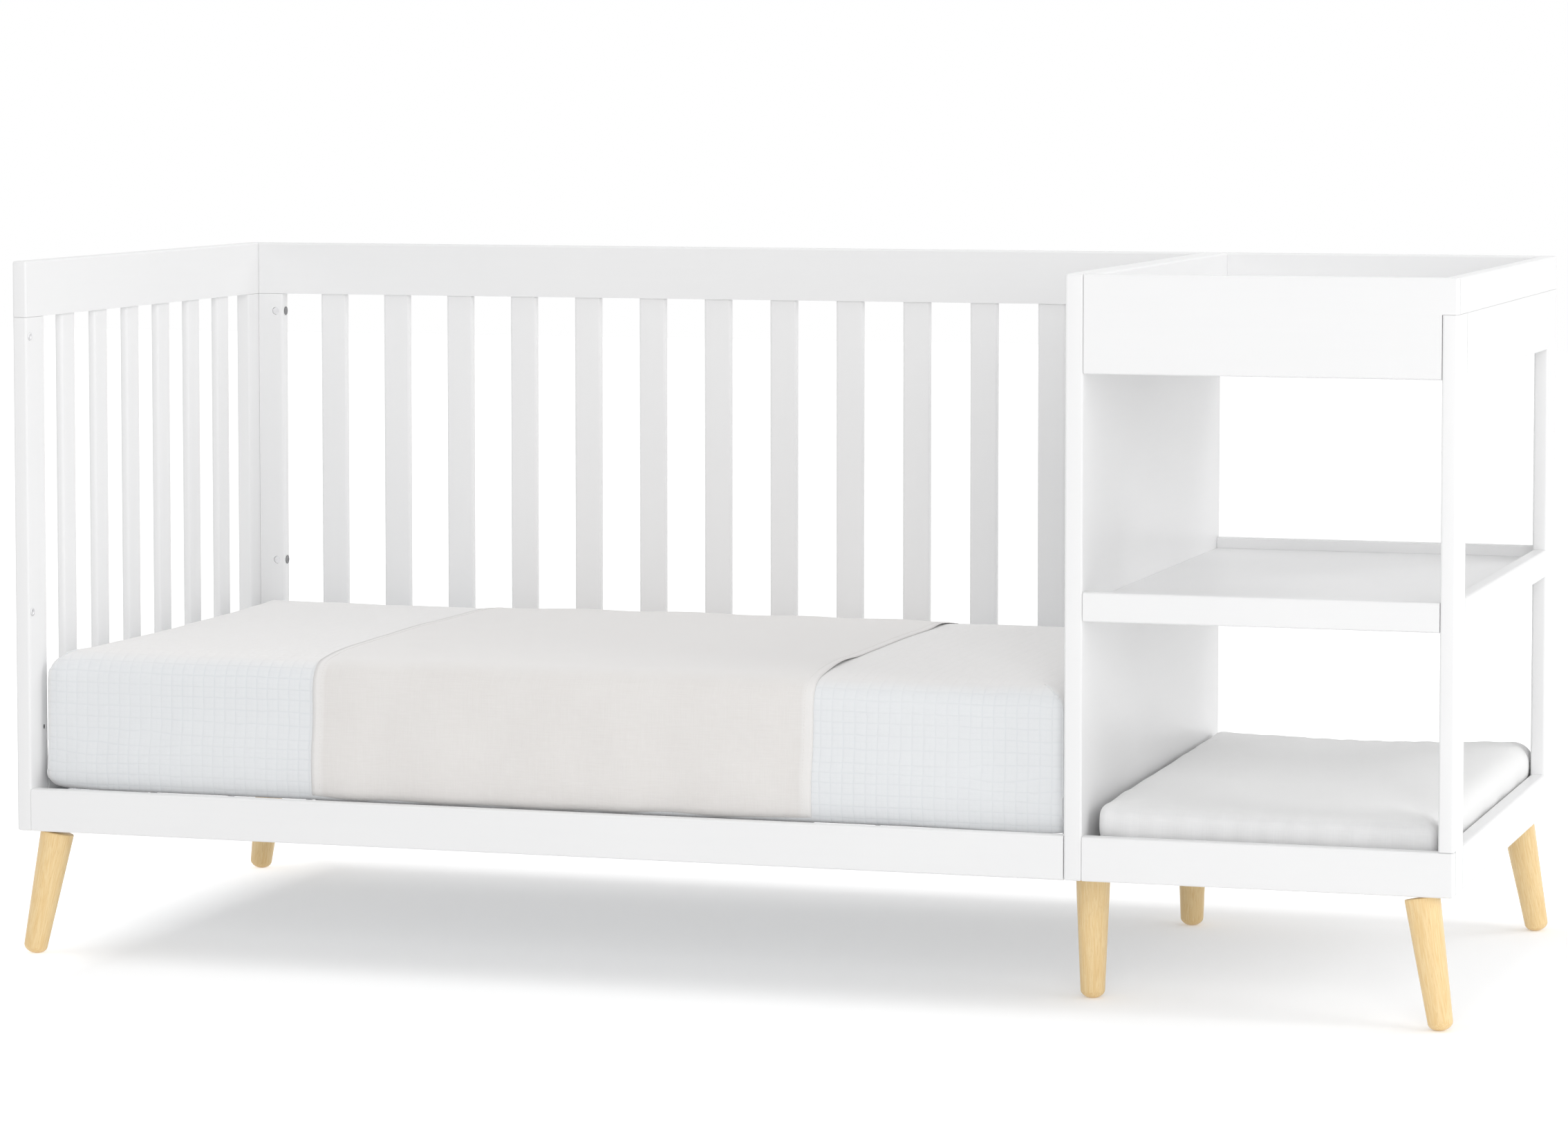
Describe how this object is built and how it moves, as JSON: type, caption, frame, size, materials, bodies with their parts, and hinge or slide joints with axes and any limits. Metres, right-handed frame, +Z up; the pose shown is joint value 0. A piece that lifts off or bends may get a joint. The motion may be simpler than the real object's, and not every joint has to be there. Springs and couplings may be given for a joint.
{
  "type": "crib and changer combo",
  "caption": "Slatted crib in its open-front daybed form, joined to an open changer with shelves and a sunk tray, on tapered splayed wooden legs.",
  "frame": {"origin": "on the floor, under the middle of the body", "axes": "+X along the length towards the changer, +Y towards the slatted back, +Z up; the open front faces -Y"},
  "size_m": [1.81, 0.755, 0.87],
  "materials": {
    "white_paint": "satin white paint on solid wood and board",
    "leg_wood": "natural light wood, satin lacquer",
    "zinc_steel": "zinc plated",
    "muslin_sheet": "pale crinkled muslin",
    "throw_cloth": "warm grey woven cloth",
    "pad_cover": "pale grey quilted cover"
  },
  "bodies": {
    "crib_and_changer": {"end_top_rail": "white_paint", "end_front_post": "white_paint", "end_rear_post": "white_paint", "end_bottom_rail": "white_paint", "end_slat_1": "white_paint", "end_slat_2": "white_paint", "end_slat_3": "white_paint", "end_slat_4": "white_paint", "end_slat_5": "white_paint", "end_slat_6": "white_paint", "back_top_rail": "white_paint", "back_left_stile": "white_paint", "back_right_stile": "white_paint", "back_bottom_rail": "white_paint", "back_slat_01": "white_paint", "back_slat_02": "white_paint", "back_slat_03": "white_paint", "back_slat_04": "white_paint", "back_slat_05": "white_paint", "back_slat_06": "white_paint", "back_slat_07": "white_paint", "back_slat_08": "white_paint", "back_slat_09": "white_paint", "back_slat_10": "white_paint", "back_slat_11": "white_paint", "back_slat_12": "white_paint", "back_slat_13": "white_paint", "front_rail": "white_paint", "divider_panel": "white_paint", "side_front_post": "white_paint", "side_rear_post": "white_paint", "side_top_rail": "white_paint", "side_shelf_rail": "white_paint", "side_bottom_rail": "white_paint", "tray_front_apron": "white_paint", "tray_back_apron": "white_paint", "tray_right_board": "white_paint", "tray_left_board": "white_paint", "tray_deck": "white_paint", "middle_shelf_front_rail": "white_paint", "middle_shelf_back_rail": "white_paint", "middle_shelf_panel": "white_paint", "bottom_shelf_front_rail": "white_paint", "bottom_shelf_back_rail": "white_paint", "bottom_shelf_panel": "white_paint", "leg_front_left": "leg_wood", "leg_rear_left": "leg_wood", "leg_front_middle": "leg_wood", "leg_rear_middle": "leg_wood", "leg_front_right": "leg_wood", "leg_rear_right": "leg_wood", "mattress_support": "zinc_steel", "panel_bolt_left_lower": "zinc_steel", "panel_bolt_left_upper": "zinc_steel", "panel_bolt_right_lower": "zinc_steel", "panel_bolt_right_upper": "zinc_steel"},
    "mattress": {"mattress": "muslin_sheet", "throw_blanket": "throw_cloth"},
    "changing_pad": {"changing_pad": "pad_cover"}
  },
  "joints": [
    {"name": "mattress_lift", "type": "slide", "parent": "crib_and_changer", "child": "mattress", "axis": [0, 0, 1], "range_m": [0, 0.68]},
    {"name": "changing_pad_lift", "type": "slide", "parent": "crib_and_changer", "child": "changing_pad", "axis": [0, 0, 1], "range_m": [0, 0.15]}
  ]
}
